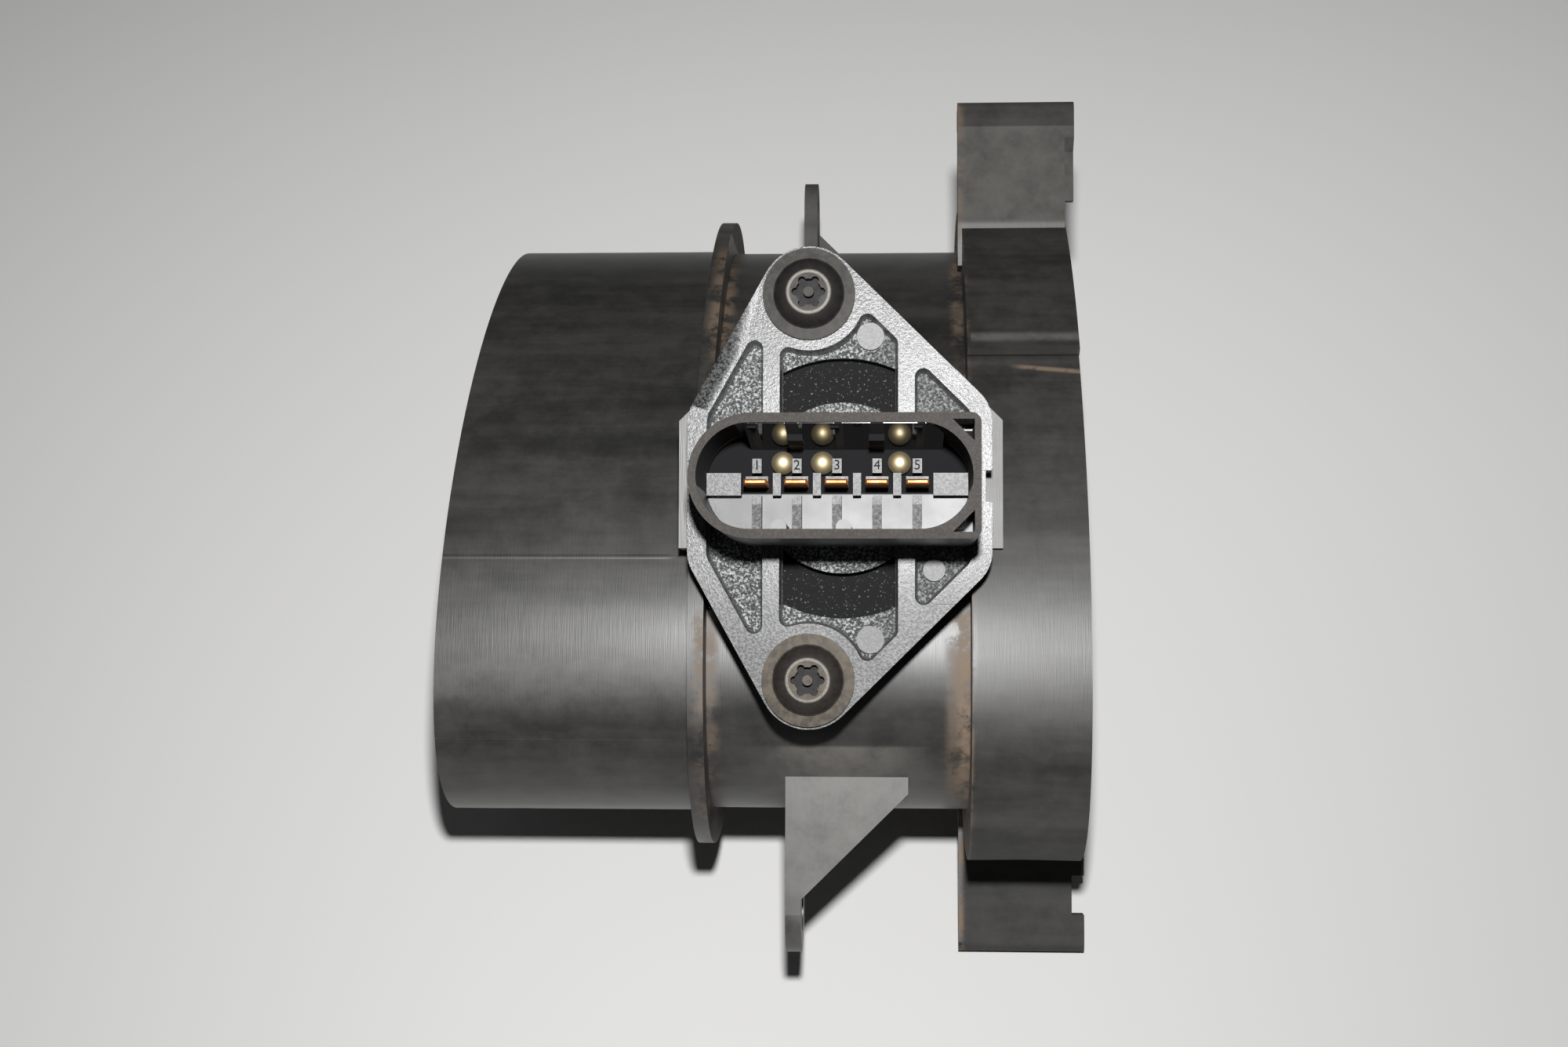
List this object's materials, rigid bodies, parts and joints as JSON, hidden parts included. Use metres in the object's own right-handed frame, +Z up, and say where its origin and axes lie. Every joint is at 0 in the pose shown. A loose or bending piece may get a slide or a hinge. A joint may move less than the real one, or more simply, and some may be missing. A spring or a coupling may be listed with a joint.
{
  "type": "mass airflow sensor",
  "caption": "Oval duct with a plug-in air mass sensor: connector socket, screw flange, hose spigot, clip collar and flow grid.",
  "frame": {"origin": "centre of the resting part's box, on the table", "axes": "+X along the duct towards the inlet collar, +Z up, the sensor leans towards -Y"},
  "size_m": [0.0884, 0.1292, 0.0933],
  "materials": {
    "duct_plastic": "dusty matt black moulding",
    "sensor_plastic": "spark-eroded grey black, slightly glossy",
    "grid_plastic": "plain black moulding",
    "screen_wire": "fine stainless wire",
    "seal_rubber": "plain black rubber",
    "screw_steel": "black zinc, worn, the lower one dirty",
    "brass": "bright brass",
    "contact_copper": "copper alloy blades",
    "plate_metal": "plain stamped plate",
    "board_ceramic": "white ceramic hybrid board",
    "chip_black": "moulded chip package",
    "silicon": "polished silicon"
  },
  "bodies": {
    "root": {"housing": "duct_plastic", "flow_grid": "grid_plastic", "wire_screen": "screen_wire", "grid_retainer": "grid_plastic", "inlet_seal": "seal_rubber", "sensor_body": "sensor_plastic", "o_ring": "seal_rubber", "sensor_screws": "screw_steel", "screw_inserts": "brass", "carrier_plate": "plate_metal", "circuit_board": "board_ceramic", "measuring_ic": "chip_black", "board_capacitors": "chip_black", "chip_holder": "plate_metal", "sensor_chip": "silicon", "electronics_cover": "sensor_plastic", "channel_cover": "sensor_plastic", "contact_1": "contact_copper", "contact_2": "contact_copper", "contact_3": "contact_copper", "contact_4": "contact_copper", "contact_5": "contact_copper", "calibration_pin_1": "brass", "calibration_pin_2": "brass", "calibration_pin_3": "brass"}
  },
  "joints": []
}
